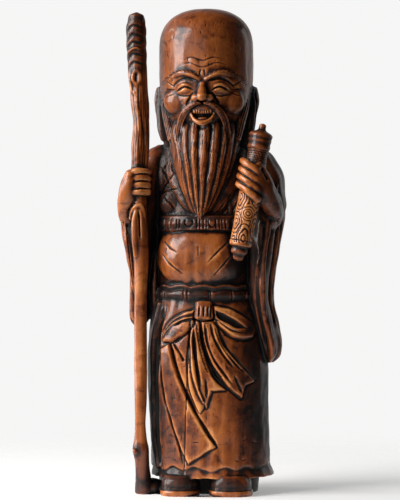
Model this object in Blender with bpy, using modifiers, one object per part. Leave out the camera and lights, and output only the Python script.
# A carved wooden figure of the old star god of long life, with his staff and his scroll.
# He faces -Y and +Z is up. The origin lies on the ground, on the axis of the robe.
# The whole figure is carved from one block, so every form below is joined into one solid.

import math

import bmesh
import bpy
import numpy as np
from mathutils import Euler, Vector

# Driving sizes, in metres
HEIGHT = 0.300
STAFF_RADIUS = 0.0041
SCROLL_RADIUS = 0.0068
SCROLL_ROD_RADIUS = 0.0029
FINGER_RADIUS = 0.0022
SOLE_THICKNESS = 0.0024

# The carving's own measure: a 300th of its height. Every form below is given in it.
UNIT = HEIGHT / 300
STAFF = STAFF_RADIUS / UNIT
SCROLL = SCROLL_RADIUS / UNIT
ROD = SCROLL_ROD_RADIUS / UNIT
FINGER = FINGER_RADIUS / UNIT
SOLE = SOLE_THICKNESS / UNIT

NAME = "carved_figure"
WOOD_COLOUR = (0.20, 0.075, 0.028, 1.0)
WOOD_ROUGHNESS = 0.38

TRIANGLES = 9700
SKIN_STEP = 0.7 * UNIT

# Levels up the figure
JAW_BASE = 219
DOME_SPRING = 276
DOME_RISE = 24
BROW_LINE = 256
EYE_LINE = 250.3
NOSE_BASE = 243.6
MOUTH_LINE = 235
BELT = (119.5, 128)
CHEST_BAND = (162, 173)
HEM = 10.5
HEM_WAVE = 18.5
BEARD = (170.5, 232)

# Height, middle x, middle y, half width and half depth of each section
SKIRT = (
    (HEM_WAVE, 2.4, 0, 37.0, 31.0),
    (26, 2.2, 0, 37.0, 30.6),
    (36, 2.0, 0, 36.9, 30.4),
    (55, 1.0, 0, 37.4, 30.4),
    (80, 0.6, 0, 37.7, 30.6),
    (100, 0.2, 0, 36.3, 29.6),
    (113, 0.0, 0, 34.2, 28.6),
    (120, -0.5, 0, 31.6, 27.0),
)
UNDERSKIRT = (
    (HEM, 3.8, 0, 38.4, 31.8),
    (13.5, 3.4, 0, 37.4, 31.0),
    (18, 2.8, 0, 36.0, 30.0),
    (27, 2.4, 0, 35.2, 29.0),
)
TORSO = (
    (112, 0, 0, 30.0, 26.0),
    (125, 0, 0, 30.4, 26.4),
    (145, 0, 0.5, 31.0, 26.6),
    (165, 0, 1.0, 32.0, 25.6),
    (185, 0, 1.5, 34.0, 24.5),
    (200, 0, 2.5, 34.5, 23.0),
    (210, 0, 3.5, 32.5, 20.5),
    (217, 0, 4.0, 26.0, 17.0),
    (222, 0, 2.0, 18.0, 15.0),
    (232, 0, -2.0, 14.0, 14.0),
)
RIGHT_SLEEVE = (
    (102.5, -42.5, 0, 1.6, 4.0),
    (106, -42.5, 0, 4.6, 8.5),
    (116, -41.5, 0, 6.8, 12.5),
    (135, -40.5, 0, 7.6, 15.5),
    (150, -40.5, 0, 10.4, 17.0),
    (169, -40.5, 0, 13.6, 18.0),
    (182, -40.5, 0, 14.6, 17.5),
    (190, -39.5, 0.5, 13.9, 16.5),
    (198, -37.0, 1.0, 12.4, 15.0),
    (206, -33.0, 2.0, 10.4, 13.0),
    (213, -30.0, 3.0, 7.4, 10.0),
    (217, -28.0, 3.5, 3.4, 5.0),
)
LEFT_SLEEVE = (
    (81, 39.5, -3, 1.8, 4.5),
    (84.5, 40.3, -3, 4.6, 9.5),
    (90, 40.3, -3, 6.4, 13.0),
    (101, 38.4, -3, 7.2, 15.5),
    (116, 34.8, -3, 7.4, 17.0),
    (135, 33.9, -3, 8.6, 18.0),
    (158, 35.4, -2, 11.4, 18.5),
    (172, 36.2, -1, 12.9, 18.0),
    (178, 36.2, 0, 12.9, 17.5),
)
LEFT_UPPER_ARM = (
    (172, 36.0, 2, 10.6, 13.5),
    (176, 36.6, 2, 13.0, 15.0),
    (186, 36.4, 2, 12.6, 15.0),
    (199, 35.6, 2, 11.6, 14.5),
    (207, 33.4, 2.5, 9.8, 12.5),
    (213, 30.6, 3.0, 7.0, 9.5),
    (217, 28.2, 3.5, 3.2, 5.0),
)
HEAD_RADIUS = (29.3, 28.0)
HEAD_MIDDLE = (0, -4.5)
JAW = (
    # share of the way from the jaw's base up to the dome, share of the head's radius
    (0, 0.62),
    (0.12, 0.80),
    (0.30, 0.92),
    (0.51, 0.975),
    (0.75, 1.0),
    (1, 1.0),
)
BEARD_REACH = (
    # height, middle x, middle y, half width, reach towards the front
    (BEARD[0], -1.6, -22.0, 3.6, 8.4),
    (173, -1.6, -21.0, 5.6, 10.2),
    (178, -1.5, -19.5, 9.0, 12.6),
    (187, -1.2, -18.0, 13.8, 15.2),
    (200, -0.8, -16.5, 18.6, 18.0),
    (215, -0.4, -15.0, 21.8, 19.8),
    (226, 0.0, -13.0, 24.0, 20.6),
    (BEARD[1], 0.0, -12.0, 24.2, 19.6),
)
LOCKS = 9
LOCK_DEPTH = 2.2

# Middle x, y and z of the staff, and its radius as a share of the shaft's
STAFF_PATH = (
    (-37.4, -18.5, 1.0, 1.40),
    (-38.0, -19.5, 10.5, 1.16),
    (-38.6, -20.6, 22.0, 1.12),
    (-39.2, -21.2, 27.5, 1.25),
    (-39.4, -21.6, 34.0, 0.98),
    (-39.2, -21.8, 60.0, 0.95),
    (-39.2, -21.8, 90.0, 0.96),
    (-39.3, -21.8, 121.0, 0.98),
    (-39.0, -21.8, 146.0, 1.12),
    (-39.6, -21.8, 160.0, 1.20),
    (-40.0, -21.8, 176.0, 1.12),
    (-40.2, -21.8, 195.0, 1.20),
    (-39.9, -21.8, 213.0, 1.36),
    (-39.3, -21.6, 232.0, 1.26),
    (-40.2, -21.4, 244.0, 1.38),
    (-40.2, -21.2, 251.0, 1.42),
    (-40.8, -21.0, 258.0, 1.50),
    (-41.2, -20.8, 268.0, 1.46),
    (-41.7, -20.6, 280.0, 1.52),
    (-41.4, -20.4, 291.0, 1.50),
    (-41.3, -20.2, 296.5, 1.10),
)
GRIP_HEIGHT = 193

# Cloth that stands proud of the skirt, as seen from the front: how far, the width of its edge,
# and its outline in x and z
RAISED = {
    "front_panel": (1.5, 1.1, (
        (-20.6, 94), (-19.4, 84.4), (-16.0, 73.2), (-9.1, 59.4), (-0.5, 43.1), (7.8, 30.4),
        (-8.7, 19.8), (-14.0, 31.0), (-19.5, 46.7), (-24.6, 68.2), (-26.0, 90.0),
    )),
    "under_tail": (1.2, 0.9, (
        (-6.0, 98), (-8.2, 90), (-8.3, 80.0), (-7.4, 66.5), (-4.0, 57.0), (0.0, 50.6),
        (1.6, 57.0), (-1.0, 70.0), (-3.0, 84.0),
    )),
    "right_tail": (2.3, 0.9, (
        (-4.2, 107), (-6.4, 100.7), (-7.2, 91.5), (-6.2, 81.0), (-3.8, 72.0), (0.5, 59.6), (2.2, 53.8),
        (4.2, 62.0), (3.8, 69.0), (8.0, 66.2), (13.8, 64.8), (9.6, 73.1), (4.4, 86.0), (2.0, 97.0),
        (1.8, 107),
    )),
    "left_tail": (2.3, 0.9, (
        (2.6, 107), (2.8, 97), (6.2, 86), (12.0, 74.3), (17.8, 65.1), (23.0, 59.4),
        (22.0, 67.0), (20.6, 72.8), (25.0, 70.4), (30.6, 69.4), (26.4, 77.5), (16.4, 88.4),
        (9.3, 101.0), (7.4, 107),
    )),
}

# Folds cut into the cloth: the side they are seen from, the heights they stay between, width, depth
# and routes.
# A front or back route runs through x and z, and a left or right one through y and z.
FOLDS = (
    ("front", 128, 163, 1.8, 1.5, (
        ((-25.0, 157), (-20.5, 152.5), (-15.5, 149.2)),
        ((-26.5, 149.5), (-20.5, 142.5), (-12.0, 136.0)),
        ((17.0, 157.5), (10.0, 151), (2.5, 143.0)),
        ((18.5, 150), (12.5, 142), (6.0, 135.0)),
    )),
    ("front", 16, 120, 1.6, 1.6, (
        ((-19.9, 94), (-18.7, 84.4), (-15.3, 73.2), (-8.4, 59.4), (0.2, 43.1), (9.5, 29.6)),
        ((-18, 94.6), (-14.4, 88.5), (-11.5, 84.5)),
    )),
    ("front", 70, 118, 0.9, 1.3, (
        ((-3.6, 106), (-4.4, 96), (-3.6, 86), (-1.4, 74)),
        ((-0.8, 106), (-0.6, 96), (1.2, 86), (5.0, 74)),
        ((4.2, 106), (6.6, 94), (11.4, 83), (16.6, 74)),
        ((6.0, 106), (9.6, 95), (15.0, 86), (21.6, 78)),
        ((-8.6, 111.5), (-13.5, 107.0), (-19.0, 102.0)),
        ((8.6, 115.0), (16.5, 110.5), (24.0, 103.5)),
        ((-0.9, 117.5), (-1.1, 110.5)),
        ((2.3, 117.5), (2.5, 110.5)),
    )),
    ("front", 118, 175, 0.8, 0.9, (
        *(((x, BELT[1] + 1.0), (x * 1.02, BELT[0] + 1.0)) for x in (-25, -18, -13.5, -5, 1.5, 8, 15, 22)),
        *(((x, CHEST_BAND[1]), (x * 1.02, CHEST_BAND[0])) for x in range(-22, 24, 4)),
    )),
    ("front", 170, 214, 2.0, 1.4, (
        ((-29, 205), (-24, 196), (-18, 187), (-12, 178)),
        ((-28, 193), (-21, 186), (-13, 176)),
        ((27, 210), (23, 200), (17, 190), (10, 178)),
    )),
    ("front", 85, 212, 2.0, 1.8, (
        ((-47.5, 168), (-46.6, 150), (-45.0, 130), (-44.0, 112)),
        ((-38.0, 166), (-36.8, 145), (-37.0, 125), (-39.5, 108)),
        ((42.0, 178), (39.4, 160), (36.4, 140), (38.0, 118), (41.0, 96)),
        ((46.4, 172), (43.6, 150), (40.0, 130), (41.6, 110), (43.4, 97)),
        ((34.4, 160), (31.6, 142), (32.4, 124), (36.0, 104), (39.0, 92)),
    )),
    ("left", 84, 205, 2.4, 1.8, (
        ((-10, 180), (-7, 150), (-6, 120), (-5, 95)),
        ((-2, 190), (1, 160), (1, 125), (-2, 98)),
        ((6, 196), (8, 160), (7, 128), (2, 100)),
    )),
    ("right", 104, 205, 2.4, 1.8, (
        ((-9, 186), (-7, 155), (-6, 128), (-4, 110)),
        ((-1, 194), (1, 160), (1, 130), (0, 112)),
        ((7, 196), (9, 165), (8, 138), (4, 116)),
    )),
    ("back", 16, 118, 2.6, 1.8, (
        ((-24, 112), (-25, 80), (-24, 45), (-27, 18)),
        ((-12, 114), (-10, 84), (-13, 50), (-14, 18)),
        ((1, 114), (2, 80), (0, 48), (2, 18)),
        ((13, 114), (12, 86), (15, 50), (16, 18)),
        ((25, 112), (26, 78), (25, 45), (29, 18)),
    )),
    ("back", 130, 160, 2.6, 1.4, (
        ((-22, 160), (-18, 146), (-17, 131)),
        ((-8, 160), (-6, 146), (-7, 131)),
        ((22, 160), (18, 146), (17, 131)),
        ((8, 160), (6, 146), (7, 131)),
    )),
    ("back", 176, 214, 2.6, 1.4, (
        ((-27, 208), (-21, 192), (-15, 177)),
        ((-14, 212), (-10, 196), (-6, 180)),
        ((27, 208), (21, 192), (15, 177)),
        ((14, 212), (10, 196), (6, 180)),
    )),
)

SCROLL_TOP = Vector((37.0, -30.0, 228.0))
SCROLL_FOOT = Vector((21.6, -32.5, 145.0))


def smooth(rows):
    """A smooth curve through rows of values, read by its first column."""
    table = np.array(rows, float)
    along, values = table[:, 0], table[:, 1:]
    slopes = np.gradient(values, along, axis=0)

    def at(place):
        place = np.clip(np.atleast_1d(place).astype(float), along[0], along[-1])
        k = np.clip(np.searchsorted(along, place, side="right") - 1, 0, len(along) - 2)
        step = (along[k + 1] - along[k])[:, None]
        t = (place[:, None] - along[k][:, None]) / step
        first, last = values[k], values[k + 1]
        leaving, arriving = slopes[k] * step, slopes[k + 1] * step
        return (
            first * (2 * t**3 - 3 * t**2 + 1)
            + leaving * (t**3 - 2 * t**2 + t)
            + last * (3 * t**2 - 2 * t**3)
            + arriving * (t**3 - t**2)
        )

    return at


def closed_form(name, segments, rings, shape):
    """A sphere whose points are moved to shape(turn, level, end): end is 0 at both poles and 1 elsewhere."""
    mesh = bmesh.new()
    bmesh.ops.create_uvsphere(mesh, u_segments=segments, v_segments=rings, radius=1)
    places = np.array([point.co for point in mesh.verts])
    ring = rings * (1 - np.arccos(np.clip(places[:, 2], -1, 1)) / math.pi)
    turn = np.arctan2(places[:, 1], places[:, 0])
    level = np.clip((ring - 1) / (rings - 2), 0, 1)
    end = np.where((ring < 0.5) | (ring > rings - 0.5), 0.0, 1.0)
    for point, place in zip(mesh.verts, shape(turn, level, end)):
        point.co = Vector(place) * UNIT
    if mesh.calc_volume(signed=True) < 0:
        bmesh.ops.reverse_faces(mesh, faces=mesh.faces)
    data = bpy.data.meshes.new(name)
    mesh.to_mesh(data)
    mesh.free()
    form = bpy.data.objects.new(name, data)
    bpy.context.scene.collection.objects.link(form)
    return form


def squared(turn, power):
    """The two sides of a round section: an ellipse at power 2, and squarer above it."""
    cos, sin = np.cos(turn), np.sin(turn)
    across = np.sign(cos) * np.abs(cos) ** (2 / power)
    through = np.sign(sin) * np.abs(sin) ** (2 / power)
    return across, through


def loft(name, sections, segments, rings, power=2.0, carve=None, wave=None):
    """An upright form through level sections. carve moves its wall out, and wave moves its points up."""
    at = smooth(sections)
    heights = [row[0] for row in sections]

    def shape(turn, level, end):
        z = np.interp(level * (len(heights) - 1), range(len(heights)), heights)
        x, y, half_width, half_depth = at(z).T
        across, through = squared(turn, power)
        out = carve(turn, z) if carve else 0
        up = wave(turn, level) * end if wave else 0
        return np.column_stack(
            (
                x + (half_width + out) * across * end,
                y + (half_depth + out) * through * end,
                z + up,
            )
        )

    return closed_form(name, segments, rings, shape)


def limb(name, points, sides, rings, facing=(0, -1, 0), rough=None, power=2.0):
    """A form along a smooth path of x, y, z, half width and half thickness, which lies along facing."""
    steps = [math.dist(a[:3], b[:3]) for a, b in zip(points, points[1:])]
    stops = np.concatenate(((0.0,), np.cumsum(steps)))
    at = smooth([(stop, *row) for stop, row in zip(stops, points)])
    towards = np.array(facing, float)
    if towards.ndim == 1:
        towards = np.tile(towards, (len(points), 1))
    facing_at = smooth([(stop, *row) for stop, row in zip(stops, towards)])

    def shape(turn, level, end):
        place = np.interp(level * (len(stops) - 1), range(len(stops)), stops)
        here = at(place)
        along = at(place + 0.01)[:, :3] - at(place - 0.01)[:, :3]
        along /= np.linalg.norm(along, axis=1)[:, None]
        thick = facing_at(place)
        thick -= (thick * along).sum(axis=1)[:, None] * along
        thick /= np.linalg.norm(thick, axis=1)[:, None]
        wide = np.cross(along, thick)
        half_width, half_thickness = here[:, 3:4], here[:, 4:5]
        if rough:
            swell = rough(turn, here[:, 2])[:, None]
            half_width, half_thickness = half_width + swell, half_thickness + swell
        tip = np.where(level > 0.5, 1, -1) * (1 - end) * 0.45
        reach = np.minimum(half_width, half_thickness)
        across, through = squared(turn, power)
        return (
            here[:, :3]
            + wide * half_width * (across * end)[:, None]
            + thick * half_thickness * (through * end)[:, None]
            + along * reach * tip[:, None]
        )

    return closed_form(name, sides, rings, shape)


def lump(name, middle, half, segments=10, rings=8, lean=(0, 0, 0)):
    """An egg-shaped form, leaning by the given degrees about X, Y and Z."""
    turned = np.array(Euler([math.radians(angle) for angle in lean]).to_matrix())

    def shape(turn, level, end):
        polar = np.where(end > 0, (level * (rings - 2) + 1) / rings, np.round(level)) * math.pi
        egg = np.column_stack(
            (
                half[0] * np.sin(polar) * np.cos(turn),
                half[1] * np.sin(polar) * np.sin(turn),
                -half[2] * np.cos(polar),
            )
        )
        return np.array(middle) + egg @ turned.T

    return closed_form(name, segments, rings, shape)


def front_of(sections, power=2.0):
    """The front wall of a loft, as a function of x and z."""
    at = smooth(sections)

    def front(x, z):
        middle_x, middle_y, half_width, half_depth = at(z)[0]
        share = min(abs((x - middle_x) / half_width), 0.995)
        y = middle_y - half_depth * (1 - share**power) ** (1 / power)
        outward = ((x - middle_x) / half_width**2, (y - middle_y) / half_depth**2, 0)
        return y, Vector(outward).normalized()

    return front


def laid_on(front, points):
    """Turns x, z, lift, half width and half thickness into points on a wall, with its outward directions."""
    placed, facing = [], []
    for x, z, lift, half_width, half_thickness in points:
        y, outward = front(x, z)
        placed.append((x + outward.x * lift, y + outward.y * lift, z, half_width, half_thickness))
        facing.append(tuple(outward))
    return placed, facing


def both_sides(build, name):
    """Calls build with a name and a side, +1 for the figure's left and -1 for his right."""
    return [build(f"{name}_{side_name}", side) for side_name, side in (("left", 1), ("right", -1))]


def robe_forms():
    def skirt_folds(turn, z):
        back = np.clip(np.sin(turn), 0, 1)
        sides = np.clip(np.abs(np.cos(turn)) - 0.75, 0, 1) * 2.2
        fade = np.clip((116 - z) / 40, 0.15, 1)
        return fade * (0.9 * back * np.cos(9 * turn) + 0.5 * sides * np.cos(14 * turn + 0.6))

    def hem_wave(turn, level):
        return np.where(level < 0.02, 0.8 * np.cos(13 * turn) + 0.3 * np.cos(7 * turn + 1), 0)

    def back_folds(turn, z):
        back = np.clip(np.sin(turn), 0, 1)
        return 0.7 * back * np.cos(8 * turn + 0.02 * z)

    forms = [
        loft("skirt", SKIRT, 52, 16, 2.25, skirt_folds, hem_wave),
        loft("underskirt", UNDERSKIRT, 40, 6, 2.25),
        loft("torso", TORSO, 36, 16, 2.2, back_folds),
        loft("core", ((-1, 1.0, 4, 30.5, 22), (4, 1.0, 4, 31, 22.5), (14, 1.5, 3, 32, 24)), 28, 5, 2.3),
        lump("belly", (-1.0, -9.5, 145), (28.6, 22.0, 22.0), 28, 14),
    ]
    return forms


def band_forms():
    """The pleated band over the chest, and the belt with its scalloped upper edge."""

    def around(low, high, proud, section):
        at = smooth(section)
        rows = []
        for share in (0, 0.12, 0.5, 0.88, 1):
            z = low + share * (high - low)
            x, y, half_width, half_depth = at(z)[0]
            swell = proud * (0.25 + 0.75 * math.sin(math.pi * min(max(share, 0.1), 0.9)))
            rows.append((z, x, y, half_width + swell, half_depth + swell))
        return rows

    def scallops(turn, level):
        return np.where(level > 0.9, 0.9 * np.abs(np.sin(7 * turn)), 0)

    def pleats(turn, z):
        return 0.35 * np.cos(24 * turn)

    belt = around(*BELT, 2.4, TORSO)
    chest = [(z, x - 1.0, y - 1.5, w - 2.5, d + 3.0) for z, x, y, w, d in around(*CHEST_BAND, 2.0, TORSO)]
    return [
        loft("belt", belt, 44, 8, 2.2, None, scallops),
        loft("chest_band", chest, 48, 7, 2.2, pleats),
    ]


def collar_forms():
    """The crossing collar and shoulder cloth on each side of the beard."""
    front = front_of(TORSO, 2.2)

    def collar(name, side):
        points, facing = laid_on(
            front,
            (
                (side * 22, 214, 0.3, 3.6, 1.3),
                (side * 21, 204, 0.6, 3.8, 1.5),
                (side * 17.5, 192, 0.8, 3.6, 1.5),
                (side * 11, 181, 0.8, 3.4, 1.4),
                (side * 2, 172, 0.6, 3.0, 1.2),
            ),
        )
        return limb(name, points, 8, 10, facing)

    def puff(name, side):
        return lump(name, (side * 19.5, -17.5, 180), (8.5, 6.5, 8.0), 14, 8)

    nape = limb(
        "nape_collar",
        ((-22, 3, 213, 3.4, 2.6), (-16, 12.5, 217.5, 4.0, 3.0), (0, 17.5, 219.5, 4.4, 3.2),
         (16, 12.5, 217.5, 4.0, 3.0), (22, 3, 213, 3.4, 2.6)),
        8,
        14,
        (0, 0.6, 1),
    )
    return both_sides(collar, "collar") + both_sides(puff, "chest_cloth") + [nape]


def sash_forms():
    """The knot under the belt, its two bows and the long fold at his right side, laid on the skirt."""
    front = front_of(SKIRT, 2.25)

    def strip(name, points, sides=8, rings=10, power=2.6):
        placed, facing = laid_on(front, points)
        return limb(name, placed, sides, rings, facing, None, power)

    forms = [
        strip("knot", ((0.8, 119.5, 1.4, 5.2, 2.4), (0.8, 114, 2.2, 5.6, 2.9),
                       (0.6, 109, 2.6, 6.0, 3.2)), 12, 6),
        strip("bow_left_under", ((5, 117, 1.0, 2.4, 1.6), (13, 115, 1.6, 3.6, 2.0),
                                 (21.5, 109, 1.8, 4.0, 2.0), (27.5, 101.5, 1.2, 2.4, 1.4))),
        strip("bow_left", ((5, 112, 1.6, 2.2, 1.8), (12, 107.5, 2.2, 3.4, 2.3),
                           (20, 101.5, 2.2, 4.0, 2.3), (27, 98, 1.4, 2.4, 1.4))),
        strip("bow_right_under", ((-4, 116, 1.0, 2.2, 1.6), (-11, 113.5, 1.6, 3.4, 2.0),
                                  (-18.5, 107, 1.8, 3.6, 2.0), (-24.0, 100.5, 1.2, 2.2, 1.4))),
        strip("bow_right", ((-4, 111.5, 1.6, 2.2, 1.8), (-11, 107.5, 2.2, 3.6, 2.3),
                            (-18, 101.5, 2.2, 3.8, 2.3), (-24.5, 96.6, 1.4, 2.2, 1.4))),
    ]
    forms.append(strip("side_fold", ((-28.5, 118, -0.4, 2.2, 2.0), (-32.6, 102, -0.2, 2.6, 2.4),
                                     (-34.0, 75, -0.2, 2.6, 2.4), (-33.2, 45, -0.3, 2.6, 2.2),
                                     (-32.0, 19, -0.6, 2.4, 1.8)), 8, 10, 2.0))
    return forms


def sleeve_forms():
    def hanging(turn, z):
        fade = np.clip((190 - z) / 60, 0, 1)
        return fade * (0.9 * np.cos(7 * turn + 0.5) + 0.35 * np.cos(15 * turn))

    def upper(turn, z):
        return 0.5 * np.cos(6 * turn + 0.12 * z)

    forms = [
        loft("right_sleeve", RIGHT_SLEEVE, 28, 18, 2.1, hanging),
        loft("left_sleeve", LEFT_SLEEVE, 28, 16, 2.1, hanging),
        loft("left_upper_arm", LEFT_UPPER_ARM, 22, 10, 2.1, upper),
    ]
    # The forearms come forward to the staff and to the scroll, in the mouths of the sleeves
    forms.append(limb("right_cuff", ((-44.5, -6, 176, 10.5, 11), (-47.0, -13, 176, 7.6, 11),
                                     (-47.6, -18, 177, 5.2, 8.5)), 14, 7, (0, 0, 1)))
    forms.append(limb("left_cuff", ((38, -6, 176, 10, 14), (40.5, -15, 176, 8.4, 13.0),
                                    (41.5, -22, 177, 6.4, 9.5)), 14, 7, (0, 0, 1)))
    return forms


def head_forms():
    """The tall bald head: an upright wall, closed by a dome."""
    wide, deep = HEAD_RADIUS
    middle_x, middle_y = HEAD_MIDDLE
    rows = []
    for way, share in JAW:
        z = JAW_BASE + way * (DOME_SPRING - JAW_BASE)
        rows.append((z, middle_x, middle_y, wide * share, deep * share))
    for step in range(1, 8):
        climb = step / 7
        height = math.sin(climb * math.pi / 2)
        share = max((1 - height**2.3) ** (1 / 2.1), 0.06)
        rows.append((DOME_SPRING + DOME_RISE * height, middle_x, middle_y, wide * share, deep * share))
    forms = [loft("head", rows, 36, 18, 2.05)]

    def ear(name, side):
        x = side * 29.4
        return limb(
            name,
            (
                (x - side * 1.6, -7.0, 219.5, 2.2, 1.3),
                (x - side * 0.4, -6.5, 226, 3.0, 1.9),
                (x + side * 0.2, -5.0, 235, 3.4, 2.3),
                (x + side * 0.9, -3.0, 245, 5.2, 2.7),
                (x + side * 0.4, -2.0, 252.5, 3.8, 1.9),
            ),
            10,
            9,
            (side, -0.45, 0),
        )

    return forms + both_sides(ear, "ear")


def face_forms():
    """A stock laughing old man, in thirds from brow line to nose to chin and five eye widths across."""
    eye_width = 10.4
    forms = [
        lump("muzzle", (0, -24.0, 236.5), (14.0, 9.0, 10.5), 16, 8),
        limb("nose_bridge", ((0, -30.2, 255, 1.9, 1.6), (0, -32.4, 250, 2.2, 2.2),
                             (0, -35.4, 245.6, 3.2, 2.6), (0, -36.0, 244.0, 2.8, 2.0)), 10, 8),
        limb("lower_lip", ((-6.8, -31.6, 232.6, 0.9, 0.9), (-3.6, -34.0, 229.6, 1.5, 1.4),
                           (0, -34.8, 228.6, 1.8, 1.6), (3.6, -34.0, 229.6, 1.5, 1.4),
                           (6.8, -31.6, 232.6, 0.9, 0.9)), 8, 9, (0, -1, 0.3)),
    ]

    def brow(name, side):
        return limb(name, ((-side * 0.6, -32.3, BROW_LINE - 0.8, 1.0, 1.3),
                           (side * 5, -32.6, BROW_LINE + 1.4, 1.2, 1.6),
                           (side * 12, -29.8, BROW_LINE + 3.2, 1.3, 1.7),
                           (side * 19, -24.6, BROW_LINE + 0.6, 1.1, 1.4),
                           (side * 25, -17.0, BROW_LINE - 6.5, 0.7, 0.8)), 8, 11, (side * 0.4, -1, 0))

    def nose_wing(name, side):
        return lump(name, (side * 3.9, -32.8, NOSE_BASE + 0.6), (2.5, 2.8, 2.0), 8, 6)

    def cheek(name, side):
        return lump(name, (side * 13.6, -21.8, 242.6), (9.6, 7.2, 7.2), 16, 10, (0, side * 22, 0))

    def upper_lid(name, side):
        x = side * eye_width
        return limb(name, ((x - side * 5.0, -29.8, EYE_LINE - 0.6, 0.7, 0.8),
                           (x, -30.0, EYE_LINE + 1.5, 1.0, 1.4),
                           (x + side * 5.4, -26.2, EYE_LINE - 0.8, 0.6, 0.7)), 6, 7, (side * 0.4, -1, 0))

    def moustache(name, side):
        return limb(name, ((side * 1.0, -34.2, 241.0, 1.3, 1.2), (side * 5.5, -34.2, 239.4, 1.9, 1.5),
                           (side * 10.5, -32.0, 235.0, 2.2, 1.6), (side * 13.4, -30.6, 228.0, 2.1, 1.6),
                           (side * 14.4, -31.4, 218.0, 1.4, 1.2)), 8, 9, (side * 0.4, -1, 0))

    for build, name in ((brow, "brow"), (nose_wing, "nose_wing"), (cheek, "cheek"),
                        (upper_lid, "upper_lid"), (moustache, "moustache")):
        forms += both_sides(build, name)
    return forms


def beard_form():
    """The long beard: a half cone whose front is cut into locks that run together at its tip."""
    rows = []
    for z, x, y, half_width, reach in BEARD_REACH:
        rows.append((z, x, y, half_width, reach))

    def locks(turn, z):
        front = np.clip(-np.sin(turn) + 0.15, 0, 1)
        across = (np.cos(turn) * 0.5 + 0.5) * LOCKS
        return -LOCK_DEPTH * front**0.5 * (1 - np.abs(np.sin(math.pi * across)) ** 0.6)

    return loft("beard", rows, 64, 13, 2.0, locks)


def staff_forms():
    """A rough root stick: a thick ringed head, a knot hole, a smooth shaft and a root at its foot."""
    points = [(x, y, z, STAFF * share, STAFF * share) for x, y, z, share in STAFF_PATH]

    def rings(turn, z):
        head = np.clip((z - 258) / 6, 0, 1) * np.clip((298 - z) / 6, 0, 1)
        flutes = np.clip((z - 198) / 8, 0, 1) * np.clip((250 - z) / 8, 0, 1)
        return (
            0.8 * head * np.cos(2 * math.pi * (z - 258) / 7.6 + turn)
            + 0.45 * flutes * np.cos(3 * turn + 0.02 * z)
        )

    forms = [
        limb("staff", points, 12, 46, (0, -1, 0), rings),
        lump("staff_root", (-33.5, -13.0, 3.6), (8.5, 9.0, 5.6), 12, 6),
        limb("staff_stub", ((-38.6, -22, 24, 2.2, 2.2), (-41.8, -25.0, 26.6, 1.8, 1.8),
                            (-43.2, -26.0, 27.4, 1.3, 1.3)), 7, 5, (0, 0, 1)),
        limb("staff_branch", ((-44.4, -22.4, 160, 1.5, 1.5), (-43.6, -24.0, 171, 1.9, 1.9),
                              (-40.6, -25.6, 178.5, 1.9, 1.7), (-37.6, -25.0, 175, 1.6, 1.6),
                              (-36.4, -23.6, 160, 1.2, 1.2)), 7, 9),
    ]
    return forms


def hand_forms():
    """Each hand is a fist: four fingers wrap what it holds, and the back of the hand runs into the cuff."""
    forms = []
    # The right hand, round the staff
    spread = FINGER * 1.95
    hold = STAFF * 1.16 + FINGER * 0.55
    for number in range(4):
        z = GRIP_HEIGHT + (1.5 - number) * spread
        x, y = -40.2, -21.8
        knuckle = number * 0.7
        forms.append(
            limb(
                f"right_finger_{number + 1}",
                (
                    (x - hold - 0.6 - knuckle, y + 1.5, z - 0.8, FINGER, FINGER),
                    (x - hold * 0.82, y - hold * 0.72, z, FINGER * 1.06, FINGER),
                    (x + 0.3, y - hold * 1.12, z + 0.3, FINGER, FINGER),
                    (x + hold * 0.86, y - hold * 0.62, z + 0.1, FINGER * 0.95, FINGER),
                    (x + hold * 1.02, y + 1.0, z - 0.2, FINGER * 0.8, FINGER * 0.8),
                ),
                7,
                8,
                (0, 0, 1),
            )
        )
    forms.append(limb("right_palm", ((-48.6, -13.0, 171, 5.0, 5.4), (-48.0, -17.0, 179, 6.4, 5.6),
                                     (-46.4, -19.4, 188, 6.6, 5.4), (-44.0, -20.6, 197, 4.6, 4.6),
                                     (-42.6, -20.6, 200.5, 3.2, 3.4)), 12, 10, (-0.7, -0.7, 0)))
    # The left hand, round the scroll
    axis = (SCROLL_TOP - SCROLL_FOOT).normalized()
    middle = SCROLL_FOOT + axis * 52.0
    across = Vector((1, 0, 0)) - axis * axis.x
    across.normalize()
    forward = across.cross(axis)
    spread = FINGER * 2.15
    hold = SCROLL + FINGER * 0.55
    for number in range(4):
        level = middle + axis * ((1.5 - number) * spread)
        drop = -axis * 1.0
        route = (
            (level + across * (hold * 0.80) + forward * (hold * 0.70) + drop * 6.4, 1.2),
            (level + across * (hold * 0.35) + forward * (hold * 1.06) + drop * 4.2, 1.2),
            (level - across * (hold * 0.25) + forward * (hold * 1.10) + drop * 1.6, 1.1),
            (level - across * (hold * 0.85) + forward * (hold * 0.70) - drop * 0.6, 1.0),
            (level - across * (hold * 1.06) - forward * 0.5 - drop * 1.4, 0.8),
        )
        points = [(*place, FINGER * share, FINGER * share) for place, share in route]
        forms.append(limb(f"left_finger_{number + 1}", points, 7, 8, tuple(axis)))
    forms.append(limb("left_palm", ((44.0, -18, 171, 6.4, 6.4), (42.4, -26, 177, 7.8, 6.8),
                                    (39.4, -31, 185, 8.6, 6.6), (36.8, -33.2, 194, 7.2, 5.6),
                                    (34.6, -33.0, 202, 4.4, 4.0)), 14, 10, (0.45, -0.9, 0)))
    return forms


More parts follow.
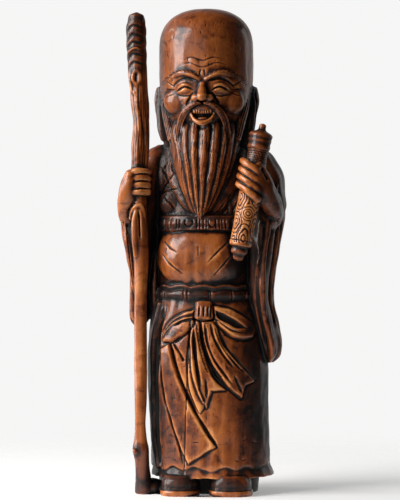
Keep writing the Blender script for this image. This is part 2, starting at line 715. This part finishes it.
def scroll_forms():
    """Two rolls on one rod, with a collar and a knob below and a plain rod end above."""
    axis = SCROLL_TOP - SCROLL_FOOT
    length = axis.length

    def along(name, rows, sides):
        points = []
        for distance, radius in rows:
            place = SCROLL_FOOT + axis * (distance / length)
            points.append((*place, radius, radius))
        return limb(name, points, sides, len(points) + 2)

    return [
        along("scroll", ((6.5, SCROLL * 0.94), (7.5, SCROLL * 1.06), (10.0, SCROLL * 1.06), (11.0, SCROLL),
                         (30, SCROLL), (56, SCROLL), (74.0, SCROLL), (75.0, SCROLL * 1.06), (76.0, SCROLL),
                         (77.0, SCROLL * 1.07), (78.4, SCROLL * 1.05), (79.2, SCROLL * 0.92)), 18),
        along("scroll_rod_top", ((77, ROD), (length - 0.4, ROD), (length, ROD * 0.86)), 10),
        along("scroll_rod_foot", ((8, ROD * 1.15), (3.6, ROD * 1.15), (2.8, ROD * 1.4), (1.0, ROD * 1.35),
                                  (0.0, ROD * 0.9)), 10),
    ]


def shoe_forms():
    def shoe(name, side):
        x = 16.0 * side + 0.6
        half_width = 13.4 if side > 0 else 12.6
        rows = (
            (-1, x, -20.5, half_width, 14.2),
            (SOLE * 0.4, x, -20.5, half_width, 14.2),
            (SOLE, x, -20.5, half_width, 14.2),
            (SOLE + 0.4, x, -20.5, half_width - 0.8, 13.2),
            (7.5, x, -20.0, half_width - 0.9, 12.8),
            (11.5, x, -19.0, half_width - 2.4, 11.0),
        )
        return loft(name, rows, 20, 8, 2.5)

    return both_sides(shoe, "shoe")


def mouth_cutter():
    """The open mouth, a shallow pocket under the upper teeth."""
    cutter = lump("mouth_cutter", (0, -35.0, MOUTH_LINE - 1.8), (6.6, 4.6, 3.2), 14, 8)
    cutter.hide_render = True
    cutter.display_type = "WIRE"
    return cutter


def teeth_form():
    """The upper row of teeth, a bar that stands in the mouth's pocket."""
    row = [(x, -31.4 + 0.04 * x * x, MOUTH_LINE + 0.1, 1.5, 1.3) for x in (-4.8, -2.4, 0, 2.4, 4.8)]
    return limb("upper_teeth", row, 8, 8)


def nearest(points, route):
    """How far each point of a view lies from a route of straight runs, and its share of the route."""
    best = np.full(len(points), np.inf)
    along = np.zeros(len(points))
    runs = [np.subtract(b, a) for a, b in zip(route, route[1:])]
    whole = sum(np.hypot(*run) for run in runs)
    done = 0.0
    for start, run in zip(route, runs):
        length = np.hypot(*run)
        share = np.clip((points - start) @ run / length**2, 0, 1)
        apart = np.hypot(*(points - start - share[:, None] * run).T)
        closer = apart < best
        best = np.where(closer, apart, best)
        along = np.where(closer, (done + share * length) / whole, along)
        done += length
    return best, along


def inside(points, outline):
    """Whether each point of a view lies inside an outline."""
    x, z = points.T
    found = np.zeros(len(points), bool)
    for (x1, z1), (x2, z2) in zip(outline, (*outline[1:], outline[0])):
        spans = (z1 > z) != (z2 > z)
        found ^= spans & (x < x1 + (z - z1) * (x2 - x1) / ((z2 - z1) or 1e-9))
    return found


def groove(points, route, width, depth):
    """A cut with sloping walls, which fades out at both ends of its route."""
    apart, along = nearest(points, route)
    fade = np.clip(np.minimum(along, 1 - along) * 8, 0.15, 1)
    return -depth * fade * np.clip(1 - apart / width, 0, 1)


def carved(figure):
    """Moves the skin's points in or out, for the folds and the panel that are cut into the robe."""
    count = len(figure.data.vertices)
    places, outward = np.zeros(count * 3, np.float32), np.zeros(count * 3, np.float32)
    figure.data.vertices.foreach_get("co", places)
    figure.data.vertices.foreach_get("normal", outward)
    places, outward = places.reshape(-1, 3).astype(float), outward.reshape(-1, 3).astype(float)
    x, y, z = (places / UNIT).T
    views = {
        "front": (np.column_stack((x, z)), np.clip(-outward[:, 1] * 2 - 0.2, 0, 1)),
        "back": (np.column_stack((x, z)), np.clip(outward[:, 1] * 2 - 0.2, 0, 1)),
        "left": (np.column_stack((y, z)), np.clip(outward[:, 0] * 2 - 0.2, 0, 1) * (x > 20)),
        "right": (np.column_stack((y, z)), np.clip(-outward[:, 0] * 2 - 0.2, 0, 1) * (x < -20)),
    }
    moved = np.zeros(count)
    for view, low, high, width, depth, routes in FOLDS:
        points, faces_it = views[view]
        near = np.flatnonzero((faces_it > 0) & (z > low) & (z < high))
        for route in routes:
            moved[near] += faces_it[near] * groove(points[near], route, width, depth)
    points, faces_it = views["front"]
    for proud, ramp, outline in RAISED.values():
        lowest, highest = min(z for x, z in outline), max(z for x, z in outline)
        near = np.flatnonzero((faces_it > 0) & (y < -14) & (z > lowest - ramp) & (z < highest + ramp))
        apart, _ = nearest(points[near], (*outline, outline[0]))
        signed = np.where(inside(points[near], outline), apart, -apart)
        moved[near] += faces_it[near] * proud * np.clip(signed / ramp + 0.5, 0, 1)
    places += outward * (moved * UNIT)[:, None]
    figure.data.vertices.foreach_set("co", places.astype(np.float32).ravel())
    figure.data.update()


def mesh_of(form, name):
    """A plain mesh object of a form as its modifiers leave it. The form itself is removed."""
    graph = bpy.context.evaluated_depsgraph_get()
    data = bpy.data.meshes.new_from_object(form.evaluated_get(graph))
    bpy.data.objects.remove(form)
    data.name = name
    made = bpy.data.objects.new(name, data)
    return made


def joined(base, others, operation, name):
    """Joins or cuts a whole group of forms with one exact Boolean."""
    group = bpy.data.collections.new(f"{name}_forms")
    bpy.context.scene.collection.children.link(group)
    for form in others:
        bpy.context.scene.collection.objects.unlink(form)
        group.objects.link(form)
    step = base.modifiers.new(operation, "BOOLEAN")
    step.operation = operation
    step.operand_type = "COLLECTION"
    step.collection = group
    step.solver = "MANIFOLD"
    made = mesh_of(base, name)
    bpy.context.scene.collection.objects.link(made)
    for form in list(group.objects):
        bpy.data.objects.remove(form)
    bpy.data.collections.remove(group)
    return made


def simplified(figure, name):
    """One even skin over the joined forms, with its flat stretches in few faces and its carving in more."""
    skin = figure.modifiers.new("skin", "REMESH")
    skin.mode = "VOXEL"
    skin.voxel_size = SKIN_STEP
    soft = figure.modifiers.new("soft", "SMOOTH")
    soft.factor = 0.5
    soft.iterations = 3
    figure = mesh_of(figure, name)
    bpy.context.scene.collection.objects.link(figure)
    carved(figure)
    figure.data.calc_loop_triangles()
    fewer = figure.modifiers.new("fewer", "DECIMATE")
    fewer.ratio = min(1.0, TRIANGLES / len(figure.data.loop_triangles))
    fewer.use_collapse_triangulate = True
    figure = mesh_of(figure, name)
    bpy.context.scene.collection.objects.link(figure)
    return figure


def ground_cutter():
    """A slab whose top is the ground, which cuts every foot flat."""
    mesh = bmesh.new()
    bmesh.ops.create_cube(mesh, size=1)
    for point in mesh.verts:
        point.co = Vector((point.co.x * 200, point.co.y * 200, point.co.z * 20 - 10)) * UNIT
    data = bpy.data.meshes.new("ground_cutter")
    mesh.to_mesh(data)
    mesh.free()
    cutter = bpy.data.objects.new("ground_cutter", data)
    cutter.hide_render = True
    cutter.display_type = "WIRE"
    bpy.context.scene.collection.objects.link(cutter)
    return cutter


def wood():
    material = bpy.data.materials.new("stained_wood")
    material.use_nodes = True
    shader = material.node_tree.nodes["Principled BSDF"]
    shader.inputs["Base Color"].default_value = WOOD_COLOUR
    shader.inputs["Roughness"].default_value = WOOD_ROUGHNESS
    shader.inputs["Metallic"].default_value = 0.0
    return material


def build():
    for old in list(bpy.data.objects):
        bpy.data.objects.remove(old)
    base, *others = robe_forms()
    others += band_forms() + collar_forms() + sash_forms() + sleeve_forms()
    others += head_forms() + face_forms() + [beard_form()]
    others += staff_forms() + hand_forms() + scroll_forms() + shoe_forms()
    figure = joined(base, others, "UNION", NAME)
    figure = joined(figure, [mouth_cutter()], "DIFFERENCE", NAME)
    figure = joined(figure, [teeth_form()], "UNION", NAME)
    figure = simplified(figure, NAME)
    figure = joined(figure, [ground_cutter()], "DIFFERENCE", NAME)
    figure.name = NAME
    figure.data.materials.clear()
    figure.data.materials.append(wood())
    figure.data.shade_smooth()
    figure.data.set_sharp_from_angle(angle=math.radians(38))
    home = bpy.data.collections.new("carved_wooden_figure")
    bpy.context.scene.collection.children.link(home)
    bpy.context.scene.collection.objects.unlink(figure)
    home.objects.link(figure)
    print(f"{NAME}: {len(figure.data.polygons)} triangles")


build()
